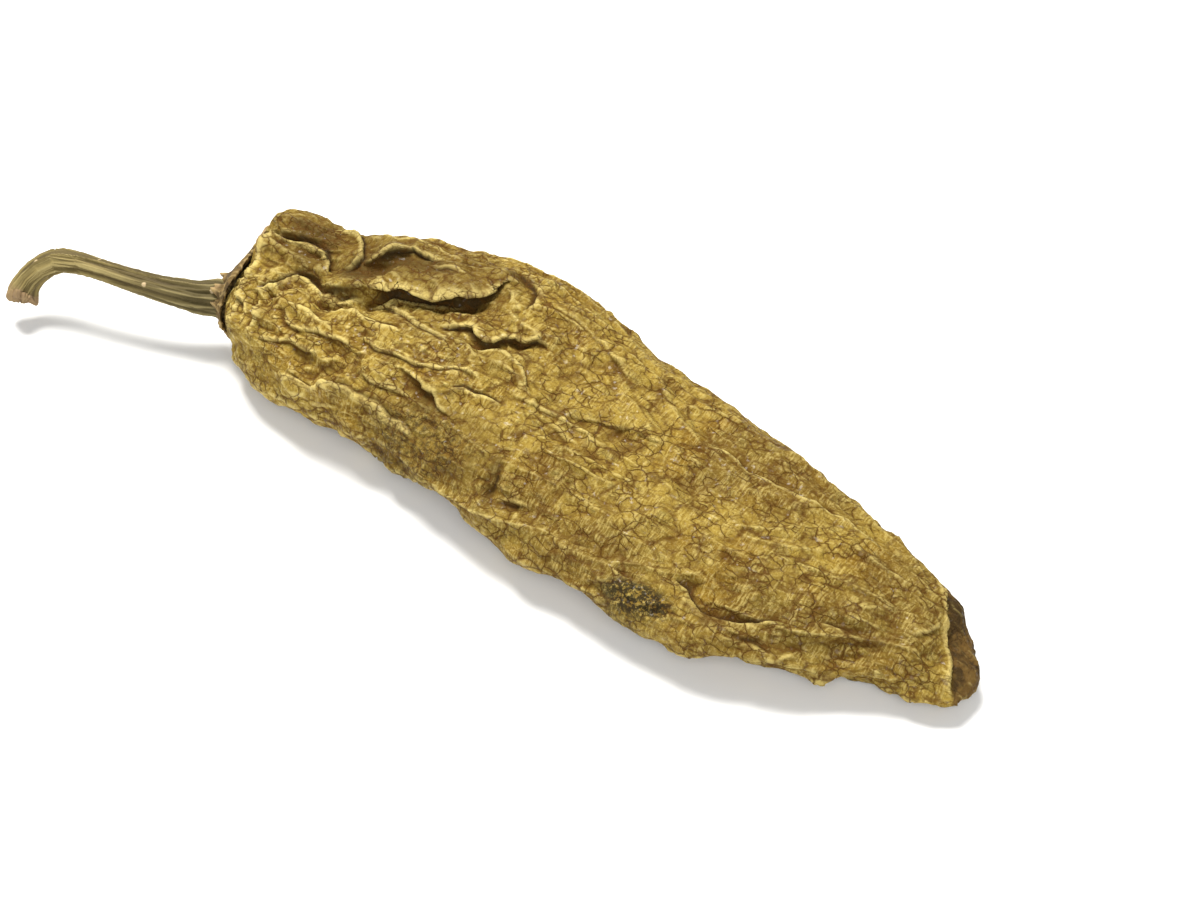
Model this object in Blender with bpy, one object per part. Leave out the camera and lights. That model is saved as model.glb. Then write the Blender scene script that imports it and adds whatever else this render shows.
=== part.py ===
"""A smoke-dried chilli on its side: a flattened, deeply wrinkled pod, its calyx cap and its hooked stem."""

import math

import bmesh
import bpy
import numpy as np
from mathutils import Vector, noise

MM = 0.001

# The pod lies along X, stem end at -X and tip at +X, its wide side up. Places are in millimetres from
# the middle of the pod's length on the floor, and the whole chilli is centred on its box at the end.
STEM_END_X = -48.0
TIP_X = 51.8
RINGS_ALONG = 94
SIDES_AROUND = 54
TOP_SHARE = 0.62
SHOULDER_DENSER = 1.6

# Each row is a station along X: x, near edge y, far edge y, top z, near edge z, far edge z.
STATIONS = (
    (-48.0, -2.0, 14.4, 13.2, 6.5, 9.0),
    (-40.0, -6.0, 14.8, 13.9, 5.5, 9.5),
    (-30.0, -8.0, 17.2, 15.0, 5.0, 9.5),
    (-20.0, -9.5, 19.2, 15.1, 4.5, 9.0),
    (-9.0, -13.0, 19.1, 14.0, 4.5, 8.0),
    (1.0, -15.2, 16.5, 12.0, 4.2, 7.0),
    (12.0, -17.1, 14.0, 11.0, 4.1, 6.0),
    (24.0, -17.9, 11.0, 10.0, 4.1, 6.0),
    (33.0, -15.6, 7.5, 9.0, 4.1, 5.5),
    (41.0, -12.0, 4.5, 7.5, 3.5, 4.5),
    (47.0, -10.5, 2.0, 6.5, 3.0, 3.5),
    (52.0, -10.5, -1.0, 5.0, 2.5, 3.0),
)
SHOULDER_ROUND = 7.0
TIP_ROUND = 8.0
UNDER_LIFT = 0.9
RIM_POWER = 1.15
STEM_APEX = (2.8, 7.0)
TIP_APEX = (-7.5, 2.6)

# Folds of the wide upper side. Each row: lift on the far side, lift on the near side, how far each lift
# reaches, and the fold's line as (x, y) points from the stem towards the tip.
FOLDS = (
    (1.3, -2.5, 3.2, 2.0, ((-35.5, 1.4), (-33, 1.9), (-31, 2.7), (-29.5, 3.8), (-28, 5.2), (-25.5, 6.1),
                           (-22.5, 6.8), (-20, 7.5), (-18, 8.8), (-17, 10.6), (-16.6, 12.4))),
    (-1.5, 0.7, 1.4, 2.5, ((-42, -4), (-40.2, -2), (-39.3, 0.2), (-38.2, 1.5), (-36.6, 2.1), (-35.2, 1.6),
                           (-34, 0.3), (-32.6, -0.1), (-30, 0.1))),
    (-0.7, 0.7, 1.6, 2.0, ((-34, 1.3), (-32, 2.0), (-29, 2.4), (-26, 2.0), (-23.5, 2.7), (-21.5, 2.1),
                           (-17, 1.9))),
    (-2.0, 0.9, 1.8, 3.0, ((-47, 8.5), (-44.5, 7.2), (-42, 6.8), (-38, 6.5), (-36, 6), (-34.6, 5),
                           (-33.6, 3.6))),
    (-1.2, 0.8, 1.8, 1.2, ((-40.5, 10.2), (-38, 10.5), (-36, 10.3), (-34.2, 10.3), (-32.8, 9.4),
                           (-32, 8.1))),
    (0.9, -1.3, 1.6, 2.2, ((-32.5, 5.5), (-31.6, 7.4), (-30.5, 9), (-30.2, 10.4), (-29, 11.8), (-27.8, 12.2),
                           (-26.6, 11.4), (-25.4, 10.3))),
    (-1.0, 0.9, 1.6, 1.2, ((-29.8, 4.8), (-29, 6.2), (-28.3, 7.4), (-28, 8.6))),
    (0.9, -0.5, 1.4, 1.2, ((-18.2, 9.6), (-17.6, 10.8), (-17, 12), (-15.6, 12.5), (-14.6, 11.8),
                           (-13.6, 9.8))),
    (-0.4, -0.9, 1.0, 1.2, ((-16.8, 14.5), (-14.5, 14.9), (-13, 14.2), (-11.8, 13.2), (-10.6, 11.5),
                            (-10.3, 9.5))),
    (0.8, -1.5, 1.6, 1.2, ((-18.5, 4.2), (-16.8, 4.8), (-15.4, 5), (-14.2, 4.3), (-13, 3.7), (-12, 4),
                           (-11, 5.2), (-9.6, 6.4), (-8, 6.9), (-5.6, 6.9))),
    (0.9, 0.9, 1.3, 2.6, ((-13.4, 2.7), (-11, 3.2), (-9, 3.1), (-7.4, 2.3), (-6, 1.1), (-4.4, -0.1))),
    (0.8, -1.0, 1.6, 1.3, ((-20, -3.5), (-18, -3.6), (-16.3, -4.3), (-14.5, -4.3), (-13.2, -3.5),
                           (-12.2, -2.9), (-10.4, -3), (-8, -3.2))),
    (0.7, -0.8, 1.5, 1.3, ((-1, -0.6), (1.5, 0.4), (3, 1.1), (5, 1.3), (7.5, 2), (10, 1.7), (13, 1.2))),
    (0.6, -0.6, 1.5, 1.2, ((-10, 11.8), (-6, 11.7), (-2, 11), (0.4, 9), (3.5, 8.5), (8, 9.1), (11, 8.8))),
    (-0.8, 0.6, 1.8, 1.4, ((-8, -11.8), (-4, -12.4), (-2, -12.6), (0, -12.2), (1.7, -11.9), (3, -12.6),
                           (5.5, -12.8))),
    (-0.8, 0.5, 1.5, 1.2, ((6.5, -13.3), (9, -13.6), (12, -14.1), (15, -14.4), (18.5, -14.0))),
    (-0.9, 0.5, 1.8, 1.3, ((17.5, -12.8), (20.5, -13.3), (23, -14.2), (26, -14.6), (29, -13.9), (31, -12.9),
                           (34, -11.4))),
    (-0.9, 0.6, 1.3, 1.2, ((25, -16.3), (28.5, -16.1), (31, -15.2), (34, -14.0), (37, -12.8), (40, -11.6),
                           (44.5, -9.9))),
    (-1.3, 1.0, 1.8, 1.6, ((-35, -5.6), (-32, -6.6), (-30, -6.9), (-27.5, -6.3), (-25.5, -5.7),
                           (-23, -5.6))),
    (0.6, -1.5, 2.0, 5.0, ((43, -9.8), (45.3, -8.8), (46, -6.5), (46.1, -4), (45.8, -2.2), (45, 0.6))),
)
FOLD_EDGE = 0.7
FOLD_TAPER = 4.5

# Pleats of the shoulder round the stem. Each row: direction in degrees seen along the stem, lift, half width.
PLEATS = (
    (44, 2.8, 17),
    (74, -1.5, 12),
    (100, 1.4, 18),
    (124, -1.2, 10),
    (150, 1.3, 20),
    (183, -1.5, 12),
    (207, 1.2, 16),
    (236, -1.8, 12),
    (262, 1.2, 15),
    (290, -1.8, 12),
    (318, 1.2, 15),
    (350, -1.9, 13),
)
PLEATS_END_X = -36.0

# The underside rests on a small flat spot.
REST_SPOT = (4.0, -1.0, 7.0, 5.0)
CALYX_GAP = 0.35
CALYX_THICK = 0.8
CALYX_RADIUS = 0.78
CALYX_MOST = 0.88

# The stem's middle line, from the calyx out to the broken end: x, y, z and radius in millimetres.
STEM_LINE = (
    (-49.6, 2.1, 6.8, 1.9),
    (-52.0, 1.0, 6.9, 1.75),
    (-55.5, -0.1, 7.3, 1.6),
    (-59.5, -1.0, 7.8, 1.45),
    (-63.5, -1.6, 8.1, 1.35),
    (-67.5, -2.1, 8.1, 1.35),
    (-70.6, -2.7, 7.7, 1.45),
    (-72.5, -3.8, 6.6, 1.5),
    (-73.6, -5.1, 5.4, 1.55),
    (-74.0, -6.4, 4.2, 1.7),
    (-73.7, -7.3, 3.4, 1.95),
)
STEM_SIDES = 14
STEM_RINGS = 42


def smooth_curve(stations, column):
    """A function that runs smoothly through one column of the stations."""
    xs = np.array([s[0] for s in stations])
    ys = np.array([s[column] for s in stations])
    slopes = np.gradient(ys, xs)

    def value(x):
        x = np.clip(x, xs[0], xs[-1])
        i = np.clip(np.searchsorted(xs, x) - 1, 0, len(xs) - 2)
        span = xs[i + 1] - xs[i]
        t = (x - xs[i]) / span
        h00 = (1 + 2 * t) * (1 - t) ** 2
        h10 = t * (1 - t) ** 2
        h01 = t * t * (3 - 2 * t)
        h11 = t * t * (t - 1)
        return h00 * ys[i] + h10 * span * slopes[i] + h01 * ys[i + 1] + h11 * span * slopes[i + 1]

    return value


near_y, far_y, top_z, near_z, far_z = (smooth_curve(STATIONS, c) for c in range(1, 6))


def smooth_step(low, high, value):
    t = np.clip((value - low) / (high - low), 0, 1)
    return t * t * (3 - 2 * t)


def signed_power(value, power):
    return np.sign(value) * np.abs(value) ** power


def end_rounding(x):
    """1 along the pod, falling to 0 at both ends as a rounded end does."""
    from_stem = np.clip((x - STEM_END_X) / SHOULDER_ROUND, 0, 1)
    from_tip = np.clip((TIP_X - x) / TIP_ROUND, 0, 1)
    shoulder = (1 - (1 - from_stem) ** 2.6) ** (1 / 2.6)
    tip = (1 - (1 - from_tip) ** 2.2) ** (1 / 2.2)
    return shoulder * tip


def pod_surface(x, angle):
    """Points of the smooth pod at stations x and angles round its section, 0 at the far edge and up first."""
    round_off = end_rounding(x)
    apex_y = np.where(x < 0, STEM_APEX[0], TIP_APEX[0])
    apex_z = np.where(x < 0, STEM_APEX[1], TIP_APEX[1])
    half = (far_y(x) - near_y(x)) / 2 * round_off
    middle = apex_y + ((far_y(x) + near_y(x)) / 2 - apex_y) * round_off
    under = np.sin(angle) < 0
    across = signed_power(np.cos(angle), np.where(under, 1.25, 0.82))
    edge = (far_z(x) + near_z(x)) / 2
    tilt = (far_z(x) - near_z(x)) / 2 * across * round_off
    centre = apex_z + (edge - apex_z) * round_off
    up = np.sin(angle)
    rise = (top_z(x) - edge) * round_off
    drop = (edge - UNDER_LIFT) * round_off
    thin_rim = smooth_step(0.1, 1, -across) * smooth_step(-30, -5, x) * ~under
    swell = signed_power(up, 0.72 + (RIM_POWER - 0.72) * thin_rim)
    tilt = tilt * np.where(under, 1 - np.abs(up), 1)
    z = centre + tilt + np.where(under, drop, rise) * swell
    return np.stack([x, middle + half * across, z], axis=1)


def even_stations(shares):
    """Stations along X at even steps over the skin from stem end to tip, closer where the folds are deep."""
    x = (STEM_END_X + TIP_X) / 2 - (TIP_X - STEM_END_X) / 2 * np.cos(np.linspace(0, math.pi, 3000))
    steps = np.zeros(len(x) - 1)
    for angle in (0.0, math.pi / 2, math.pi):
        line = pod_surface(x, np.full(len(x), angle))
        steps += np.linalg.norm(np.diff(line, axis=0), axis=1) / 3
    steps *= 1 + (SHOULDER_DENSER - 1) * (1 - smooth_step(-12, 2, x[1:]))
    walk = np.concatenate([[0], np.cumsum(steps)])
    return np.interp(shares * walk[-1], walk, x)


def even_angles(turns):
    """Section angles at even steps over the skin, with TOP_SHARE of the steps on the upper side."""
    angle = np.linspace(-math.pi, math.pi, 2001)
    line = pod_surface(np.zeros(len(angle)), angle)
    steps = np.linalg.norm(np.diff(line, axis=0), axis=1)
    top = angle[1:] > 1e-9
    steps[top] *= TOP_SHARE / steps[top].sum()
    steps[~top] *= (1 - TOP_SHARE) / steps[~top].sum()
    walk = np.concatenate([[0], np.cumsum(steps)])
    return np.interp((turns / (2 * math.pi) + 1 - TOP_SHARE) % 1, walk, angle)


def line_offsets(points, line):
    """Signed distance of plan points from a line of (x, y), far side positive, and the way along it."""
    line = np.array(line, float)
    steps = np.diff(line, axis=0)
    lengths = np.linalg.norm(steps, axis=1)
    before = np.concatenate([[0], np.cumsum(lengths)])
    best = np.full(len(points), 1e9)
    side = np.zeros(len(points))
    along = np.zeros(len(points))
    for start, step, length, done in zip(line[:-1], steps, lengths, before):
        rel = points - start
        t = np.clip(rel @ step / length**2, 0, 1)
        away = np.linalg.norm(rel - t[:, None] * step, axis=1)
        nearer = away < best
        best = np.where(nearer, away, best)
        turn = np.sign(step[0] * rel[:, 1] - step[1] * rel[:, 0])
        side = np.where(nearer, turn, side)
        along = np.where(nearer, done + t * length, along)
    return best * side, along, before[-1]


def fold_lift(points):
    """Lift of the upper side in millimetres at plan points, from every traced fold."""
    lift = np.zeros(len(points))
    for far_lift, near_lift, far_reach, near_reach, line in FOLDS:
        away, along, length = line_offsets(points, line)
        taper = smooth_step(0, FOLD_TAPER, along + 0.4) * smooth_step(0, FOLD_TAPER, length - along + 0.4)
        far_side = far_lift * np.exp(-((np.maximum(away, 0) / far_reach) ** 2))
        near_side = near_lift * np.exp(-((np.minimum(away, 0) / near_reach) ** 2))
        share = smooth_step(-FOLD_EDGE, FOLD_EDGE, away)
        lift += taper * (near_side + (far_side - near_side) * share)
    return lift


def pleat_lift(points):
    """Lift of the shoulder's pleats, by direction round the stem."""
    turn = np.degrees(np.arctan2(points[:, 2] - STEM_APEX[1], points[:, 1] - STEM_APEX[0]))
    lift = np.zeros(len(points))
    for direction, height, width in PLEATS:
        off = (turn - direction + 180) % 360 - 180
        lift += height * np.exp(-((off / width) ** 2))
    reach = np.hypot(points[:, 1] - STEM_APEX[0], points[:, 2] - STEM_APEX[1])
    return lift * (1 - smooth_step(STEM_END_X + 3, PLEATS_END_X, points[:, 0])) * smooth_step(4.0, 9.0, reach)


def wrinkle(point, scale, seed):
    """Sharp-crested wrinkles between -1 and 1, longer along the pod than across it."""
    spot = Vector((point[0] / scale[0], point[1] / scale[1], point[2] / scale[2] + seed))
    bend = noise.noise(spot * 0.5) * 0.9
    return 1 - 2 * abs(noise.noise(spot + Vector((bend, -bend, bend)))) * 1.6


def skin_lift(points, normals):
    """Wrinkles all over the pod: slight on the upper side, deep on the walls and underneath."""
    up = smooth_step(-0.1, 0.5, normals[:, 2])
    slight = np.array([wrinkle(p, (5.0, 2.2, 2.2), 3.7) for p in points])
    deep = np.array([wrinkle(p, (11.0, 3.4, 4.5), 11.3) for p in points])
    small = np.array([wrinkle(p, (3.2, 2.0, 2.0), 23.1) for p in points])
    return up * 0.32 * (slight - 0.3) + (1 - up) * (1.25 * (deep - 0.4) + 0.35 * (small - 0.3))


def remapped_sphere(name, sides, rings, place):
    """A closed mesh: a UV sphere whose points go where place puts them, from share along and angle round."""
    shape = bmesh.new()
    bmesh.ops.create_uvsphere(shape, u_segments=sides, v_segments=rings, radius=1.0)
    mesh = bpy.data.meshes.new(name)
    shape.to_mesh(mesh)
    shape.free()
    unit = np.array([v.co for v in mesh.vertices])
    share = np.arccos(np.clip(-unit[:, 2], -1, 1)) / math.pi
    angle = np.arctan2(unit[:, 1], unit[:, 0])
    mesh.vertices.foreach_set("co", place(share, angle).astype(np.float32).ravel())
    mesh.update()
    obj = bpy.data.objects.new(name, mesh)
    return obj


def points_of(mesh):
    points = np.empty(len(mesh.vertices) * 3, np.float32)
    mesh.vertices.foreach_get("co", points)
    return points.reshape(-1, 3).astype(float)


def normals_of(mesh):
    normals = np.empty(len(mesh.vertices) * 3, np.float32)
    mesh.vertex_normals.foreach_get("vector", normals)
    return normals.reshape(-1, 3).astype(float)


def make_pod():
    def place(share, turn):
        return pod_surface(even_stations(share), even_angles(turn))

    pod = remapped_sphere("pod", SIDES_AROUND, RINGS_ALONG, place)
    points = points_of(pod.data)
    normals = normals_of(pod.data)
    lift = fold_lift(points[:, :2]) * smooth_step(0.05, 0.5, normals[:, 2])
    lift += pleat_lift(points) + skin_lift(points, normals)
    clear = smooth_step(CALYX_MOST, 0.99, end_rounding(points[:, 0])) + (points[:, 0] > 0)
    lift = np.where(lift > 0, lift * np.minimum(clear, 1), lift)
    points += normals * lift[:, None]
    points[:, 2] = np.maximum(points[:, 2], 0)
    x, y, half_x, half_y = REST_SPOT
    on_spot = ((points[:, 0] - x) / half_x) ** 2 + ((points[:, 1] - y) / half_y) ** 2 < 1
    points[on_spot & (normals[:, 2] < 0), 2] = 0
    pod.data.vertices.foreach_set("co", points.astype(np.float32).ravel())
    return pod


def calyx_points(share, angle):
    """A thin cap over the shoulder with a ragged edge: the outer skin first, then the inner one."""
    outer = share < 0.5 + 1e-6
    inward = 1 - np.abs(1 - 2 * share)
    ragged = np.array([noise.noise(Vector((math.cos(a) * 3, math.sin(a) * 3, 7.1))) for a in angle])
    edge = np.clip(CALYX_RADIUS * (1 + 0.3 * ragged), 0.6, CALYX_MOST)
    reach = np.maximum(edge * inward, 0.02)
    x = STEM_END_X + SHOULDER_ROUND * (1 - (1 - reach**2.6) ** (1 / 2.6))
    base = pod_surface(x, angle)
    step = 0.01
    around = pod_surface(x, angle + step) - pod_surface(x, angle - step)
    further = np.clip(reach + step, 0, 0.96)
    x_further = STEM_END_X + SHOULDER_ROUND * (1 - (1 - further**2.6) ** (1 / 2.6))
    normal = np.cross(pod_surface(x_further, angle) - base, around)
    normal /= np.linalg.norm(normal, axis=1, keepdims=True) + 1e-12
    normal[normal[:, 0] > 0] *= -1
    normal[inward < 0.05] = (-1, 0, 0)
    away = np.where(outer, CALYX_GAP + CALYX_THICK * (1 - 0.6 * inward**3), CALYX_GAP)
    away = np.where(np.abs(share - 0.5) < 1e-6, CALYX_GAP + 0.2, away)
    return base + normal * away[:, None]


def make_calyx():
    return remapped_sphere("calyx", 36, 12, calyx_points)


def stem_points(share, angle):
    """A grooved, tapering tube along the stem's line, blunt at the calyx and ragged at the broken end."""
    line = np.array(STEM_LINE)
    walk = np.concatenate([[0], np.cumsum(np.linalg.norm(np.diff(line[:, :3], axis=0), axis=1))])
    rows = np.column_stack([walk, line])
    curves = [smooth_curve(rows, c) for c in range(1, 5)]
    length = walk[-1]
    ring = np.clip((share - 0.05) / 0.9, 0, 1) * length
    centre = np.stack([c(ring) for c in curves[:3]], axis=1)
    radius = curves[3](ring)
    ahead = np.stack([c(np.clip(ring + 0.3, 0, length)) for c in curves[:3]], axis=1)
    behind = np.stack([c(np.clip(ring - 0.3, 0, length)) for c in curves[:3]], axis=1)
    tangent = (ahead - behind) / np.linalg.norm(ahead - behind, axis=1, keepdims=True)
    side = np.cross((0.35, -0.75, 0.55), tangent)
    side /= np.linalg.norm(side, axis=1, keepdims=True)
    top = np.cross(tangent, side)
    ends = np.clip(np.minimum(share, 1 - share) / 0.05, 0, 1)
    blunt = (1 - (1 - ends) ** 4) ** 0.5
    groove = 1 + 0.07 * np.cos(5 * angle + 0.12 * ring) + 0.04 * np.cos(3 * angle - 0.2 * ring + 1)
    ragged = np.where(share > 0.9, 1 + 0.14 * np.cos(3 * angle + 1.3), 1)
    reach = radius * blunt * groove * ragged
    return centre + side * (reach * np.cos(angle))[:, None] + top * (reach * np.sin(angle))[:, None]


def make_stem():
    return remapped_sphere("stem", STEM_SIDES, STEM_RINGS, stem_points)


def add_material(obj, colour, roughness):
    material = bpy.data.materials.new(obj.name)
    material.use_nodes = True
    shader = material.node_tree.nodes["Principled BSDF"]
    shader.inputs["Base Color"].default_value = (*colour, 1)
    shader.inputs["Roughness"].default_value = roughness
    shader.inputs["Metallic"].default_value = 0
    obj.data.materials.append(material)


def main():
    for obj in list(bpy.data.objects):
        bpy.data.objects.remove(obj)
    chilli = bpy.data.collections.new("dried chilli")
    bpy.context.scene.collection.children.link(chilli)
    pod, calyx, stem = make_pod(), make_calyx(), make_stem()
    add_material(pod, (0.40, 0.25, 0.08), 0.6)
    add_material(calyx, (0.12, 0.07, 0.03), 0.75)
    add_material(stem, (0.16, 0.12, 0.06), 0.7)
    parts = (pod, calyx, stem)
    everything = np.concatenate([points_of(p.data) for p in parts])
    low, high = everything.min(axis=0), everything.max(axis=0)
    shift = np.array([-(low[0] + high[0]) / 2, -(low[1] + high[1]) / 2, -low[2]])
    for part in parts:
        points = (points_of(part.data) + shift) * MM
        part.data.vertices.foreach_set("co", points.astype(np.float32).ravel())
        part.data.shade_smooth()
        part.data.update()
        chilli.objects.link(part)


main()
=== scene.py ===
"""Looks of one smoke-dried chilli lying on its side: a creased pod, a papery calyx cap and a hooked stem."""

import math

import bpy
import numpy as np
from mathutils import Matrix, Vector, noise


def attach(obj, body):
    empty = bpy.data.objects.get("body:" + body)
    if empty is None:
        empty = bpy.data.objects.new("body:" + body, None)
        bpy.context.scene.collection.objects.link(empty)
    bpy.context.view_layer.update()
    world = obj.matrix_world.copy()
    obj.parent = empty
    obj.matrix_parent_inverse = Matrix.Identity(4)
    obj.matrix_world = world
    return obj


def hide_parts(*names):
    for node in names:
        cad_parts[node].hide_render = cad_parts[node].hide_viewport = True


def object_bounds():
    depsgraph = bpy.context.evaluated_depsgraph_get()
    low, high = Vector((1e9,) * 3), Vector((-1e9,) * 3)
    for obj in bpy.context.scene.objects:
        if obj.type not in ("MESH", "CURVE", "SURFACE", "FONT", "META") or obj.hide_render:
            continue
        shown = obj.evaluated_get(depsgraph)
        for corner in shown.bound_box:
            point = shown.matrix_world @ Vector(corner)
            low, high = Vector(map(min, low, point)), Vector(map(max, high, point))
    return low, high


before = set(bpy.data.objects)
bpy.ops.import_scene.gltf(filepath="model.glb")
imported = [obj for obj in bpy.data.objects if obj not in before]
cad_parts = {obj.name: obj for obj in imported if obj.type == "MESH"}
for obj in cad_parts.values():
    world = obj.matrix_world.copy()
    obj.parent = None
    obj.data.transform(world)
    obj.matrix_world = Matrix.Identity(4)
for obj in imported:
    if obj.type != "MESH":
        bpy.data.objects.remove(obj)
cad_low, cad_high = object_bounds()

MM = 0.001
NOISE_SEED = 11

# Where the middle of the pod's length lies, in millimetres. The other places below are measured from it.
POD_MIDDLE = np.array([12.0, -0.72, 0.0])
STEM_APEX = (2.8, 7.0)
# The stem's middle line, from the calyx out to its broken end.
STEM_LINE = (
    (-49.6, 2.1, 6.8), (-52, 1.0, 6.9), (-55.5, -0.1, 7.3), (-59.5, -1, 7.8), (-63.5, -1.6, 8.1),
    (-67.5, -2.1, 8.1), (-70.6, -2.7, 7.7), (-72.5, -3.8, 6.6), (-73.6, -5.1, 5.4), (-74, -6.4, 4.2),
    (-73.7, -7.3, 3.4),
)
# The pod's outline seen from above, to lay long wrinkles along it: x, near edge and far edge.
OUTLINE = np.array((
    (-48, -3, 14), (-40, -6, 14.6), (-30, -8, 17.2), (-20, -9.5, 19.2), (-9, -13, 19.1), (1, -15.2, 16.5),
    (12, -17.1, 14), (24, -17.9, 11), (33, -15.6, 7.5), (41, -12, 4.5), (47, -10.5, 2), (52, -10.5, -1),
))
STRAIGHT_WIDTH = 28

# Size of the small faces that cover each piece, in millimetres. The pod's are longer along X, by the squeeze.
SKIN_VOXEL = 0.41
SKIN_SQUEEZE = 0.72
CALYX_VOXEL = 0.16
STEM_VOXEL = 0.11
# The pod's faces that point up by more than this are split in four.
UPPER_SIDE = 0.15

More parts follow.
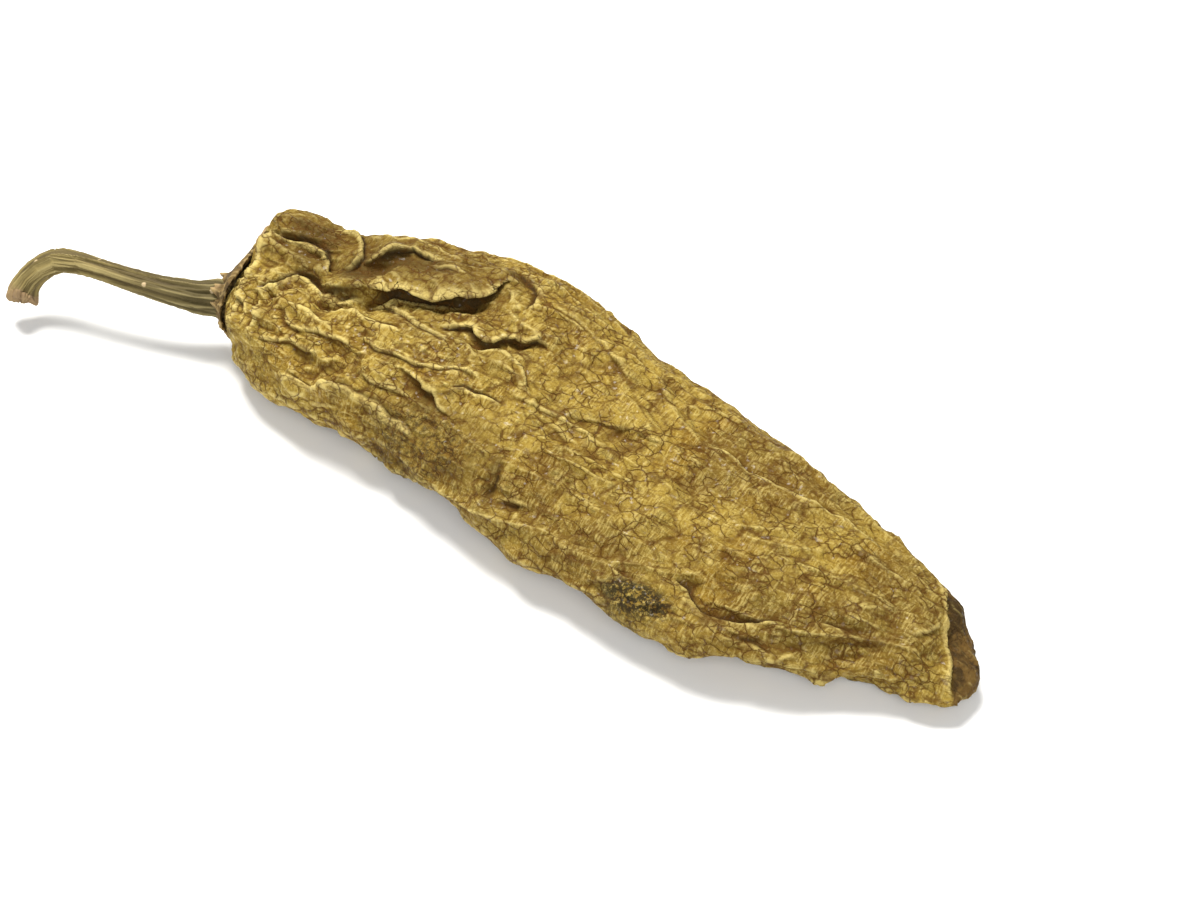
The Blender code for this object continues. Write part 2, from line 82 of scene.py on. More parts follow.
# Crisp folds of the upper side. Each row: lip height, crease depth, sideways overhang of the lip, the side of
# the line that lies lower as its points run (1 left, -1 right), and the line as (x, y) points in millimetres.
FOLDS = (
    (0.4, 0.6, 2.4, -1, ((-29.6, 4.3), (-28, 5.5), (-26, 6.4), (-24, 6.8), (-22, 7.2), (-20, 7.9),
                         (-18.4, 8.9), (-17.5, 10.2), (-16.9, 11.6), (-15.8, 12.5), (-14.4, 13))),
    (0.8, 0.0, 0.4, 1, ((-27.6, 4.5), (-26, 5.1), (-24, 5.6), (-22, 6), (-20.4, 6.6), (-19, 7.7),
                        (-18, 9))),
    (0.7, 1.0, 0.7, 1, ((-43.4, 0.4), (-41.4, 0.6), (-40.4, 1.4), (-39.5, 2.6), (-38.6, 3.4), (-37.5, 3.7),
                        (-36.2, 3.3), (-35.2, 2.7), (-34.2, 2.2), (-33, 2.1), (-31.6, 2.7), (-30.2, 3.6),
                        (-28.8, 4.6))),
    (0.8, 0.6, 0.4, -1, ((-42, 0.2), (-41.2, -0.8), (-40.4, -2), (-39.9, -3.2), (-40.3, -4.1),
                         (-41.4, -4.7))),
    (0.9, 0.2, 0.3, -1, ((-42.6, 9.2), (-43.6, 8.4), (-44.2, 7), (-44.5, 5), (-44.5, 3), (-44.3, 1),
                         (-43.9, -1), (-43.4, -3), (-42.8, -4.6), (-41.8, -5.8))),
    (0.7, 0.5, 0.3, -1, ((-45.6, -0.2), (-44, -0.6), (-42.8, -1.6), (-42, -2.6), (-41.8, -3.6))),
    (1.2, 0.6, 0.6, 1, ((-47.4, 7.2), (-45.4, 7.5), (-43.4, 7.7), (-41.6, 7.9), (-39.6, 8.2), (-38, 8.1),
                        (-37, 7.2), (-36.2, 6.1), (-35.4, 5.2), (-34.6, 4.4))),
    (1.1, 0.6, 0.5, 1, ((-39.4, 12.2), (-37.6, 12.3), (-36, 12.5), (-35, 11.8), (-34.2, 10.6), (-33.4, 9.4),
                        (-32.6, 8.4), (-32.4, 7.4), (-33.4, 6.5), (-34.6, 6.9))),
    (0.8, 0.7, 0.5, -1, ((-31.7, 7.2), (-31, 8.8), (-30.4, 10.2), (-29.8, 11.3), (-28.9, 12.1), (-28, 12.6),
                         (-27.2, 12.3), (-26, 12.2), (-24.4, 12.1), (-22.8, 12.6))),
    (0.3, 0.4, 0.2, 1, ((-33.3, 11.2), (-32.4, 10), (-31.6, 9))),
    (0.4, 0.3, 0.2, 1, ((-36, 14), (-33.5, 14), (-31, 13.6), (-29, 14.2), (-26, 14.6), (-23.5, 14),
                        (-21, 13.6))),
    (0.3, 0.4, 0.2, -1, ((-25.6, 10.6), (-24, 10.9), (-22.4, 11.4), (-20.5, 11), (-19, 11.3))),
    (0.2, 0.6, 0.1, -1, ((-16.8, 15.2), (-15.2, 15.4), (-13.6, 14.8), (-12.5, 14), (-11.4, 12.8),
                         (-10.8, 11.2), (-10.8, 9.6), (-11.2, 8.2))),
    (0.4, 0.3, 0.2, -1, ((-15.4, 11.2), (-14.4, 11.2), (-13.6, 10.6), (-13.2, 9.6), (-12, 9.2))),
    (0.5, 0.8, 0.5, -1, ((-19.4, 3.4), (-17.6, 4.2), (-16, 4.8), (-15, 4.9), (-14, 4.2), (-13, 3.8),
                         (-12, 4.2), (-11.2, 5.4), (-10.4, 6.1), (-9.4, 6.3), (-8, 6.9), (-6.8, 6.7),
                         (-5.9, 6.2))),
    (0.5, 0.4, 0.3, 1, ((-14.6, 2.4), (-13, 2.9), (-11, 3.2), (-9, 2.9), (-7.4, 2.3), (-6, 1.1),
                        (-4.6, -0.1))),
    (0.5, 0.4, 0.3, -1, ((-29, 3.2), (-27.4, 3.8), (-25.6, 3.9), (-24, 3.6), (-22.8, 2.9), (-21.6, 2.6),
                         (-19.6, 2.5), (-17.6, 2.2), (-16, 2))),
    (0.4, 0.4, 0.2, 1, ((-34.4, 0.6), (-32.4, 1), (-30.6, 1.4), (-28.8, 1.2), (-27, 0.8), (-25, 0.5),
                        (-23, 0.7), (-21.4, 0.3))),
    (0.4, 0.3, 0.2, 1, ((-18.7, 1.3), (-18.3, 0.5), (-18.2, -0.2), (-19, -1), (-19.3, -1.9))),
    (0.3, 0.3, 0.2, -1, ((-17.8, 0.9), (-17, 1.1), (-16.2, 0.6), (-15.4, -0.2))),
    (0.3, 0.4, 0.1, -1, ((-27, -1.6), (-24, -1.9), (-22, -2), (-20, -2.2), (-18.2, -2.2), (-16.4, -2),
                         (-14.4, -1.2), (-12, -0.8), (-10, -1.4))),
    (0.4, 0.4, 0.3, -1, ((-20.6, -3.1), (-18.6, -3.3), (-17.2, -3.9), (-16.2, -4.4), (-14.8, -4.5),
                         (-13.6, -5.5), (-11.4, -6.2))),
    (0.3, 0.6, 0.2, 1, ((-14.4, -3.9), (-13.2, -3.2), (-12, -2.8), (-10.4, -2.9), (-8.8, -2.5),
                        (-7.4, -2.3), (-7, -3.7))),
    (0.3, 0.3, 0.1, -1, ((-25.4, -5.2), (-24, -5), (-22.6, -5.6), (-20, -5.4), (-17.6, -5.6),
                         (-16.4, -5.2))),
    (0.6, 0.35, 0.3, 1, ((-35, -6.4), (-33, -7), (-31, -7.5), (-29.4, -7.6), (-28, -7.2), (-26.4, -7.1),
                         (-25, -6.8), (-23, -6.8), (-21, -7.1), (-18.6, -7.6), (-16, -8.2), (-14, -8.8))),
    (0.3, 0.3, 0.1, -1, ((-39, -1.2), (-37.4, -1.3), (-36, -2.4), (-34.4, -2.8), (-32.4, -2.8), (-30, -2.5),
                         (-28, -2.6), (-25.6, -2.9))),
    (0.3, 0.3, 0.1, -1, ((-40.6, -4.8), (-38.6, -5), (-36.4, -4.4), (-34, -4.2), (-31, -4.4),
                         (-28.6, -4.2))),
    (0.3, 0.3, 0.1, 1, ((-37.6, 0.6), (-36.4, -0.2), (-35, -0.4), (-33.6, -1), (-31.8, -1.3),
                        (-29.8, -1.1))),
    (0.3, 0.25, 0.2, -1, ((-6.8, -1.6), (-5, -1), (-3, -0.8), (-1, -0.6), (1.5, -1.1), (3, -1.5),
                          (3.9, -2.4), (4.1, -3.8))),
    (0.3, 0.3, 0.1, -1, ((-3, -1.8), (-0.8, -1.9), (1, -2.4), (2.4, -3), (3.8, -3.2))),
    (0.1, 0.5, 0.0, 1, ((-4.6, -7.4), (-3.9, -9), (-3.5, -10.4), (-4.3, -11.6), (-4.2, -12.8))),
    (0.2, 0.15, 0.1, -1, ((-1, -0.2), (0.8, 0.1), (2, 0.7), (3, 1), (4, 1), (5, 1.4), (6.5, 1.8), (8, 1.9),
                          (10, 1.7), (13, 1.1))),
    (0.2, 0.3, 0.1, -1, ((-10.4, 11.2), (-8.6, 11.6), (-6, 11.6), (-3.6, 11.2), (-1.2, 10.6), (0.4, 9.2),
                         (2.4, 8.3), (4.4, 8.5))),
    (0.1, 0.3, 0.0, 1, ((17.6, 4), (18.6, 4.2), (20, 3.9), (21.4, 4.3))),
    (0.35, 0.3, 0.1, 1, ((14, 4.9), (16.3, 4.7), (19, 4.1), (21.2, 3.6), (24, 3.4), (26.6, 3.2), (29, 3.1),
                         (31.3, 3), (35.2, 2.7), (38.5, 2.3))),
    (0.1, 0.2, 0.0, -1, ((8, -4.5), (10, -4.6), (12, -4.7), (13.4, -5.3), (15.4, -5.7))),
    (0.1, 0.2, 0.0, -1, ((15.6, -3.8), (17, -4.4), (19, -4.2), (20.6, -4.6), (21.9, -3.9), (22.3, -2.8))),
    (0.2, 0.3, 0.1, -1, ((4.9, -6), (5, -7.4), (4.8, -8.4), (4.3, -9.2), (4, -10.6))),
    (0.3, 0.5, 0.1, -1, ((-3.6, -11.9), (-1.5, -11.4), (0.5, -11.2), (2.2, -11.6))),
    (0.2, 0.4, 0.1, 1, ((6.2, -12.9), (8, -13.3), (10, -13.1), (11, -12.6))),
    (0.2, 0.4, 0.1, 1, ((11.2, -13.6), (13, -13.8), (14.6, -14.2), (16.8, -14.3))),
    (0.2, 0.6, 0.1, 1, ((18.6, -13.1), (20, -12.6), (21.4, -12.7), (22.6, -13.6), (24, -14.3), (26, -14.1),
                        (28, -13.4), (29.6, -12.9), (31.2, -11.8), (32.6, -11.5))),
    (0.2, 0.5, 0.1, 1, ((26, -15.9), (28.5, -15.2), (30.4, -14.8), (32, -14.8), (33.6, -14.4))),
    (0.2, 0.4, 0.1, 1, ((33.6, -10.8), (35.6, -10.1), (38, -9.3), (41, -8.7))),
    (0.2, 0.4, 0.1, 1, ((38.4, -11.2), (40, -10.7), (41.8, -10.4))),
    (0.5, 0.4, 0.3, -1, ((50.2, -9.6), (48.9, -7.9), (48.1, -6.2), (47, -4.4), (46.1, -2.2), (44.8, 0),
                         (42.8, 2.6))),
    (0.3, 0.2, 0.1, -1, ((42.6, -6.9), (44.2, -6.4), (45.3, -5.2), (45.8, -3.6), (45.2, -1.8))),
)
# How a fold goes across its line and tapers off at the line's ends, in millimetres.
FOLD_EDGE = 0.11
LIP_REACH = 0.5
CREASE_REACH = 0.7
FOLD_TAPER = 3.5
FOLD_END = 0.4
# The fold's line wavers by this much, in waves of this scale per millimetre.
WAVER = 0.4
WAVER_SCALE = (0.4, 0.4, 1.0)
WAVER_LAYER = 4.2
# The painted highlight on a lip, the painted shade in a crease, and how high and deep those must be to be
# full.
PALE_SHIFT = 0.15
PALE_WIDTH = 0.3
CREASE_SHADE = 0.45
FULL_LIP = 0.5
FULL_CREASE = 0.6

# Wrinkles of the pod: size of the noise in millimetres along, across and up, its seed, how much it bends,
# and the power that sharpens its crests.
LONG_CREST = ((18.0, 4.2, 4.2), 3.1, 1.0, 2)
SHORT_CREST = ((9.0, 2.3, 2.3), 17.7, 1.1, 2.4)
FINE_CREST = ((2.2, 1.3, 1.3), 29.3, 1.0, 1.6)
CRUMPLE = ((5.0, 3.2, 3.2), 41.9, 0.8, 1.3)
PLATE_SIZE = (2.0, 1.4, 1.4)
PLATE_SEED = 5.5
SWELL_SCALE = 0.25

# Lift by those wrinkles in millimetres. The creased stem end has weaker long ones and stronger fine ones.
LONG_LIFT = 0.95
SHORT_LIFT = 0.6
CRUMPLE_LIFT = 0.22
SWELL_LIFT = 0.35
FINE_LIFT, CREASED_FINE_LIFT = 0.05, 0.10
PLATE_LIFT, CREASED_PLATE_DROP = 0.13, 0.06
PLATE_GROWTH, CREASED_PLATE_SHRINK = 1.4, 0.4
UPPER_ROUGH, CREASED_CALM = 0.55, 0.2
SIDE_ROUGH, UNDER_ROUGH = 0.24, 0.46
SIDE_SMALL, UPPER_SMALL = 0.22, 0.04
TIP_CALM = 0.7

# Where the pod's relief changes, in millimetres along it: from the first value to the second.
CREASED_END = (-22, 6)
SMOOTH_TIP = (43, 47)
CALYX_RIM = (-45.8, -44.2)
SHOULDER_END = (-46.5, -41.5)
FAR_EDGE_BEGINS = (-22, -10)
FAR_EDGE_ENDS = (0, 10)
# The shoulder is what lies far and high enough: a slanting sum of y and z, and from where to where it counts.
SHOULDER_SLANT = (0.6, 0.55)
SHOULDER_TOP = (9.0, 12.5)
SHOULDER_REACH = 2.2
FAR_EDGE_RISE = 1.2

# The stem: its grooves' noise, the direction that turns round it are counted from, and its lifts
# in millimetres.
STEM_RIBS = ((26.0, 5.0, 5.0), 2.2, 0.5, 1)
STEM_SIDE = (0.35, -0.75, 0.55)
STEM_ROUND = 10
FIBRE_SCALE = (0.22, 0.85, 0.85)
STEM_GRAIN_SCALE = 1.6
WART_SCALE = 0.34
WART_SIZE = 0.11
RAGGED_SCALE = 0.9
RIB_LIFT = 0.42
FIBRE_LIFT = 0.10
STEM_GRAIN_LIFT = 0.06
WART_LIFT = 0.22
FOOT_FLARE = 0.35
FOOT_LENGTH = 7
BROKEN_LENGTH = 1.6
BROKEN_LIFT = 0.5
BROKEN_RISE = 1.3

# The calyx, in millimetres: its fine folds, the curl of its rim and the torn collar round the stem.
CALYX_FOLDS = ((1.6, 1.3, 1.3), 8.2, 0.8, 1)
CALYX_FOLD_LIFT = 0.30
LOBE_SCALE = 2.6
SHRED_SCALE = 5.3
RIM = (4.5, 9.0)
RIM_CURL = 0.4
RIM_SPREAD = 0.5
COLLAR_RADIUS = 2.7
COLLAR_WIDTH = 0.6
COLLAR_HEIGHT = 1.0

# Colours of the pod. STRAW also paints highlight on crests and lips, and BROWN, HOLLOW_BROWN and DEEP_BROWN
# also paint shade.
TAN = (0.315, 0.213, 0.034)
STRAW = (0.62, 0.49, 0.165)
OCHRE = (0.24, 0.138, 0.012)
BROWN = (0.095, 0.046, 0.004)
GREY_TAN = (0.22, 0.168, 0.042)
CRACK = (0.088, 0.037, 0.004)
DEEP_BROWN = (0.030, 0.017, 0.005)
MOULD = (0.018, 0.014, 0.006)
TIP_BROWN = (0.115, 0.062, 0.016)
HOLLOW_BROWN = (0.068, 0.038, 0.007)
# Colours of the stem and the calyx.
STEM_TAN = (0.22, 0.170, 0.062)
STEM_BROWN = (0.105, 0.078, 0.026)
STEM_FOOT_SHADE = (0.070, 0.054, 0.020)
STEM_RIDGE_HIGHLIGHT = (0.42, 0.345, 0.150)
STEM_GROOVE_SHADE = (0.055, 0.038, 0.016)
WART_TAN = (0.55, 0.42, 0.24)
BROKEN_WOOD = (0.27, 0.175, 0.095)
CALYX_BROWN = (0.17, 0.110, 0.040)
CALYX_DARK = (0.065, 0.042, 0.017)
TORN_PAPER = (0.45, 0.31, 0.15)
CALYX_CREST_HIGHLIGHT = (0.40, 0.29, 0.12)
FLOOR_WHITE = (0.87, 0.87, 0.86, 1)

# Scales of the pod's colour patterns, per millimetre.
BROAD_SCALE = 0.06
PATCH_SCALE = 0.13
BREAK_SCALE = 0.3
BLOTCH_SCALE = 0.45
RIBBED_SCALE = 0.5
SPECKLE_SCALE = 1.8
GLINT_SCALE = 1.9
GRAIN_SCALE = 2.6
SPECK_SCALE = 5.5
PLATE_SCALE = 0.8
SMALL_PLATE_SCALE = 1.5
RIB_STRETCH = (4.6, 0.55, 0.55)
RIB_TURN = (0, 0, 0.12)

# Painted shade in hollows of the upper side, with the skin's darker brown there: middle x and y, half sizes
# in millimetres, and how dark.
SHADED_HOLLOWS = (
    (-31.3, 6.4, 3.4, 3.1, 0.85), (-40, 9.8, 4.5, 1.8, 0.7), (-28.4, 10.4, 1.9, 1.8, 0.8),
    (-24.2, 10.5, 4, 2, 0.7), (-14.5, 14.4, 3, 1, 0.7), (-38.5, 5.6, 3, 1.2, 0.4),
    (-15, -5.6, 2.4, 1.2, 0.5), (-26.5, -6.6, 2.4, 0.9, 0.5), (-3.9, -10.2, 1.1, 2.8, 0.6),
    (-13, -8, 12, 5, 0.35), (-36, 9, 14, 7, 0.5), (-12, 2, 5, 3, 0.25), (-22, 11, 12, 7, 0.5),
    (-21, 3, 6, 3, 0.3),
)
# The black patch low on the near side and the stain beside it: middle x and y, and half sizes in millimetres.
BLACK_PATCH = (17, -15.8, 5.2, 2.0)
STAIN = (-14, -9, 9.0, 3.6)
# The dark tip begins on a slanting line: its x in millimetres, how it slants with y, and how ragged it is.
TIP_BEGINS = (45.2, 45.9)
TIP_SLANT = 0.52
TIP_RAGGED = 0.6
COAT_ROUGHNESS = 0.36
# Depth of the bumps in each material, in millimetres.
POD_BUMP = 0.16
STEM_BUMP = 0.08
CALYX_BUMP = 0.15

# Lights in metres and watts, and the camera in degrees and millimetres.
KEY_PLACE = (-0.20, 0.16, 0.56)
KEY_SIZE = 0.22
KEY_WATTS = 6.3
KEY_COLOUR = (1.0, 0.98, 0.95)
FILL_PLACE = (0.26, -0.46, 0.42)
FILL_SIZE = 0.5
FILL_WATTS = 3.4
FILL_COLOUR = (1.0, 1.0, 1.0)
WORLD_STRENGTH = 0.30
FLOOR_WIDTH = 3.0
CAMERA_AZIMUTH = 29
CAMERA_ELEVATION = 45
CAMERA_TARGET = (11.7, 6.88, 0.0)
CAMERA_DISTANCE = 233
CAMERA_LENS = 60
CAMERA_SENSOR = 36
CAMERA_CLIP_START = 0.01


def smooth_step(low, high, value):
    t = np.clip((value - low) / (high - low), 0, 1)
    return t * t * (3 - 2 * t)


def select_only(obj):
    for other in list(bpy.context.selected_objects):
        other.select_set(False)
    obj.select_set(True)
    bpy.context.view_layer.objects.active = obj


def copy_of_node(node, name):
    """A new piece from a copy of a CAD node's mesh, with its loose triangles merged into one skin."""
    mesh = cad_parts[node].data.copy()
    mesh.name = name
    obj = bpy.data.objects.new(name, mesh)
    bpy.context.scene.collection.objects.link(obj)
    mesh.materials.clear()
    select_only(obj)
    bpy.ops.mesh.customdata_custom_splitnormals_clear()
    bpy.ops.object.mode_set(mode="EDIT")
    bpy.ops.mesh.select_all(action="SELECT")
    bpy.ops.mesh.remove_doubles(threshold=1e-6)
    bpy.ops.mesh.tris_convert_to_quads()
    bpy.ops.object.mode_set(mode="OBJECT")
    return obj


def apply_modifier(obj, kind, **settings):
    select_only(obj)
    modifier = obj.modifiers.new(kind.lower(), kind)
    for key, value in settings.items():
        setattr(modifier, key, value)
    bpy.ops.object.modifier_apply(modifier=modifier.name)


def soften(obj):
    apply_modifier(obj, "SMOOTH", factor=0.5, iterations=3)


def fine_skin(obj, voxel, squeeze=1.0):
    """Rounds the piece's facets and covers it in small faces, longer along X where it was squeezed."""
    apply_modifier(obj, "SUBSURF", levels=2, render_levels=2)
    put_places(obj.data, places_of(obj.data) * (squeeze, 1, 1))
    apply_modifier(obj, "REMESH", mode="VOXEL", voxel_size=voxel * MM, use_smooth_shade=True)
    put_places(obj.data, places_of(obj.data) / (squeeze, 1, 1))
    soften(obj)


def split_upper_faces(obj):
    """Splits each face of the upper side in four, where the finest wrinkles show."""
    mesh = obj.data
    select_only(obj)
    bpy.ops.object.mode_set(mode="EDIT")
    bpy.ops.mesh.select_mode(type="FACE")
    bpy.ops.mesh.select_all(action="DESELECT")
    bpy.ops.object.mode_set(mode="OBJECT")
    flat = np.empty(len(mesh.polygons) * 3, np.float32)
    mesh.polygons.foreach_get("normal", flat)
    mesh.polygons.foreach_set("select", flat.reshape(-1, 3)[:, 2] > UPPER_SIDE)
    bpy.ops.object.mode_set(mode="EDIT")
    bpy.ops.mesh.subdivide(number_cuts=1)
    bpy.ops.object.mode_set(mode="OBJECT")
    soften(obj)


def places_of(mesh):
    """Vertex places in millimetres."""
    flat = np.empty(len(mesh.vertices) * 3, np.float32)
    mesh.vertices.foreach_get("co", flat)
    return flat.reshape(-1, 3).astype(float) / MM


def put_places(mesh, places):
    mesh.vertices.foreach_set("co", (places * MM).astype(np.float32).ravel())
    mesh.update()


def inside_solids(places):
    """The places, held inside the box of the solids."""
    return np.clip(places, np.array(cad_low) / MM, np.array(cad_high) / MM)


def normals_of(mesh):
    flat = np.empty(len(mesh.vertices) * 3, np.float32)
    mesh.vertex_normals.foreach_get("vector", flat)
    return flat.reshape(-1, 3).astype(float)


def edges_of(mesh):
    flat = np.empty(len(mesh.edges) * 2, np.int32)
    mesh.edges.foreach_get("vertices", flat)
    return flat.reshape(-1, 2)


def spread(values, edges, rounds):
    """Each point's value averaged with its neighbours', this many times over."""
    count = len(values)
    ends = np.concatenate([edges[:, 0], edges[:, 1]])
    others = np.concatenate([edges[:, 1], edges[:, 0]])
    share = np.bincount(ends, minlength=count)
    for _ in range(rounds):
        columns = [np.bincount(ends, values[others, c], minlength=count) for c in range(values.shape[1])]
        values = 0.5 * values + 0.5 * np.stack(columns, axis=1) / share[:, None]
    return values


def stands_out(places, mesh, edges, rounds):
    """How far each place stands out of its spread surroundings, in millimetres."""
    return ((places - spread(places, edges, rounds)) * normals_of(mesh)).sum(axis=1)


def keep_attribute(mesh, name, values):
    attribute = mesh.attributes.new(name, "FLOAT", "POINT")
    attribute.data.foreach_set("value", values.astype(np.float32))


def noise_at(points, scale):
    return np.array([noise.noise(Vector(p)) for p in points * scale])


def crest_at(point, scale, seed, bend):
    """Warped noise folded into sharp crests with round hollows between: 1 on a crest, 0 in a hollow."""
    spot = Vector((point[0] / scale[0], point[1] / scale[1], point[2] / scale[2] + seed))
    turn = noise.noise_vector(spot * 0.7)
    return max(0.0, 1 - abs(noise.noise(spot + turn * bend)) * 2.3)


def crests(points, kind):
    """Crests of one kind at every point, sharpened by that kind's power."""
    scale, seed, bend, power = kind
    return np.array([crest_at(p, scale, seed, bend) for p in points]) ** power


def inside_plate(point):
    """How far inside its corky plate a point lies: 0 on the border, 1 well inside."""
    long, wide, high = PLATE_SIZE
    spot = Vector((point[0] / long, point[1] / wide, point[2] / high + PLATE_SEED))
    spot += noise.noise_vector(spot * 0.8) * 0.35
    near = noise.voronoi(spot)[0]
    return min(1.0, (near[1] - near[0]) / 0.4)


def line_offsets(points, line):
    """Signed distance of plan points from a line, and where they lie on it.

    Gives the distance, positive on the left as the line runs, the length run so far, the line's whole
    length, and the way across it.
    """
    line = np.array(line, float)
    steps = np.diff(line, axis=0)
    lengths = np.linalg.norm(steps, axis=1)
    before = np.concatenate([[0], np.cumsum(lengths)])
    best = np.full(len(points), 1e9)
    side = np.zeros(len(points))
    along = np.zeros(len(points))
    across = np.zeros((len(points), 2))
    for start, step, length, done in zip(line[:-1], steps, lengths, before):
        rel = points - start
        t = np.clip(rel @ step / length**2, 0, 1)
        away = np.linalg.norm(rel - t[:, None] * step, axis=1)
        nearer = away < best
        best = np.where(nearer, away, best)
        side = np.where(nearer, np.sign(step[0] * rel[:, 1] - step[1] * rel[:, 0]), side)
        along = np.where(nearer, done + t * length, along)
        across[nearer] = np.array([-step[1], step[0]]) / length
    return best * side, along, before[-1], across


def fold_moves(points):
    """Lift and sideways push of plan points by every crisp fold, with painted lip highlights and painted
    crease shade.
    """
    lift = np.zeros(len(points))
    push = np.zeros((len(points), 2))
    lips = np.zeros(len(points))
    creases = np.zeros(len(points))
    layer = np.column_stack([points, np.full(len(points), WAVER_LAYER)])
    waver = noise_at(layer, WAVER_SCALE)
    for lip, crease, overhang, low_side, line in FOLDS:
        away, along, length, across = line_offsets(points, line)
        low = away * low_side + WAVER * waver
        begins = smooth_step(0, FOLD_TAPER, along + FOLD_END)
        taper = begins * smooth_step(0, FOLD_TAPER, length - along + FOLD_END)
        low_share = 0.5 + 0.5 * np.tanh(low / FOLD_EDGE)
        high = taper * (1 - low_share) * np.exp(-np.abs(low) / LIP_REACH)
        lift += lip * high - crease * taper * low_share * np.exp(-np.abs(low) / CREASE_REACH)
        push += across * (low_side * overhang * high)[:, None]
        # Painted highlight along each lip.
        pale = taper * np.exp(-(((low + PALE_SHIFT) / PALE_WIDTH) ** 2))
        lips = np.maximum(lips, pale * min(1, lip / FULL_LIP))
        # Painted shade in each crease, wider under a lip that overhangs it.
        shade = taper * low_share * np.exp(-((low / (CREASE_SHADE * (1 + overhang))) ** 2))
        creases = np.maximum(creases, shade * min(1, crease / FULL_CREASE))
    return lift, push, lips, creases


def along_pod(pod):
    """The same points with the pod's outline drawn straight, so that a pattern on them follows its edges."""
    near = np.interp(pod[:, 0], OUTLINE[:, 0], OUTLINE[:, 1])
    far = np.interp(pod[:, 0], OUTLINE[:, 0], OUTLINE[:, 2])
    straight = pod.copy()
    straight[:, 1] = (pod[:, 1] - (near + far) / 2) / (far - near) * STRAIGHT_WIDTH
    return straight


def long_wrinkles(flow, up, down, creased):
    """Lift by the long wrinkles and the shorter ones between them, calm at the tip and rougher underneath."""
    side_rough = SIDE_ROUGH + UNDER_ROUGH * down
    rough = side_rough + (UPPER_ROUGH - CREASED_CALM * creased - side_rough) * up
    small = SIDE_SMALL + UPPER_SMALL * up
    calm = 1 - TIP_CALM * smooth_step(*SMOOTH_TIP, flow[:, 0])
    long_crest = crests(flow, LONG_CREST)
    short_crest = crests(flow, SHORT_CREST)
    return calm * (rough * LONG_LIFT * (long_crest - 0.35) + small * SHORT_LIFT * (short_crest - 0.3))


def fine_relief(flow, creased):
    """Lift by the finest wrinkles and the corky plates, and how far inside its plate each point lies."""
    fine_crest = crests(flow, FINE_CREST)
    growth = PLATE_GROWTH - CREASED_PLATE_SHRINK * creased
    plate = np.array([inside_plate(p) for p in flow / growth[:, None]])
    fine_lift = FINE_LIFT + CREASED_FINE_LIFT * creased
    plate_lift = PLATE_LIFT - CREASED_PLATE_DROP * creased
    return fine_lift * (fine_crest - 0.4) + plate_lift * (plate - 0.8), plate


def crumples(pod):
    """Lift by broad crumples and swellings that don't follow the pod's length."""
    crumple = crests(pod, CRUMPLE)
    swell = noise_at(pod, SWELL_SCALE)
    return CRUMPLE_LIFT * (crumple - 0.4) + SWELL_LIFT * swell


def move_edges(moved, pod, flow, up):
    """Pushes the shoulder out beside the calyx and raises the far edge where the pod bends."""
    end = 1 - smooth_step(*SHOULDER_END, pod[:, 0])
    top = smooth_step(*SHOULDER_TOP, pod[:, 1] * SHOULDER_SLANT[0] + pod[:, 2] * SHOULDER_SLANT[1])
    moved[:, 0] -= SHOULDER_REACH * (end * top)
    far_edge = smooth_step(*FAR_EDGE_BEGINS, pod[:, 0]) * (1 - smooth_step(*FAR_EDGE_ENDS, pod[:, 0]))
    moved[:, 2] += FAR_EDGE_RISE * far_edge * smooth_step(0, 10, flow[:, 1]) * up


def shape_pod(obj):
    """Moves folds, wrinkles and corky plates into the pod's fine skin, and keeps where its crests lie."""
    mesh = obj.data
    edges = edges_of(mesh)
    start = places_of(mesh)
    normals = spread(normals_of(mesh), edges, 8)
    normals /= np.linalg.norm(normals, axis=1, keepdims=True)
    pod = start - POD_MIDDLE
    flow = along_pod(pod)
    up = smooth_step(-0.1, 0.45, normals[:, 2])
    down = smooth_step(0.0, 0.8, -normals[:, 2])
    creased = 1 - smooth_step(*CREASED_END, pod[:, 0])
    lift, push, lips, creases = fold_moves(pod[:, :2])
    lift *= up
    push *= up[:, None]
    lift += long_wrinkles(flow, up, down, creased)
    fine_lift, plate = fine_relief(flow, creased)
    lift += fine_lift
    lift += up * crumples(pod)
    under_calyx = 1 - smooth_step(*CALYX_RIM, pod[:, 0])
    lift = np.where(lift > 0, lift * (1 - under_calyx), lift)
    moved = start + normals * lift[:, None]
    moved[:, :2] += push
    move_edges(moved, pod, flow, up)
    moved = inside_solids(moved)
    put_places(mesh, moved)
    fine = stands_out(moved, mesh, edges, 8)
    broad = stands_out(moved, mesh, edges, 90)
    # For the skin's colour: painted highlight on crests and lips, painted shade in dips and creases, and
    # painted shade with darker brown in the broad hollows.
    keep_attribute(mesh, "crest", np.clip(fine / 0.12, -1, 1) * (0.6 + 0.4 * creased))
    keep_attribute(mesh, "hollow", np.clip(-broad / 0.6, -1, 1))
    keep_attribute(mesh, "plate", plate)
    keep_attribute(mesh, "lip", np.clip(lips * up, 0, 1))
    keep_attribute(mesh, "crease", np.clip(creases * up, 0, 1))


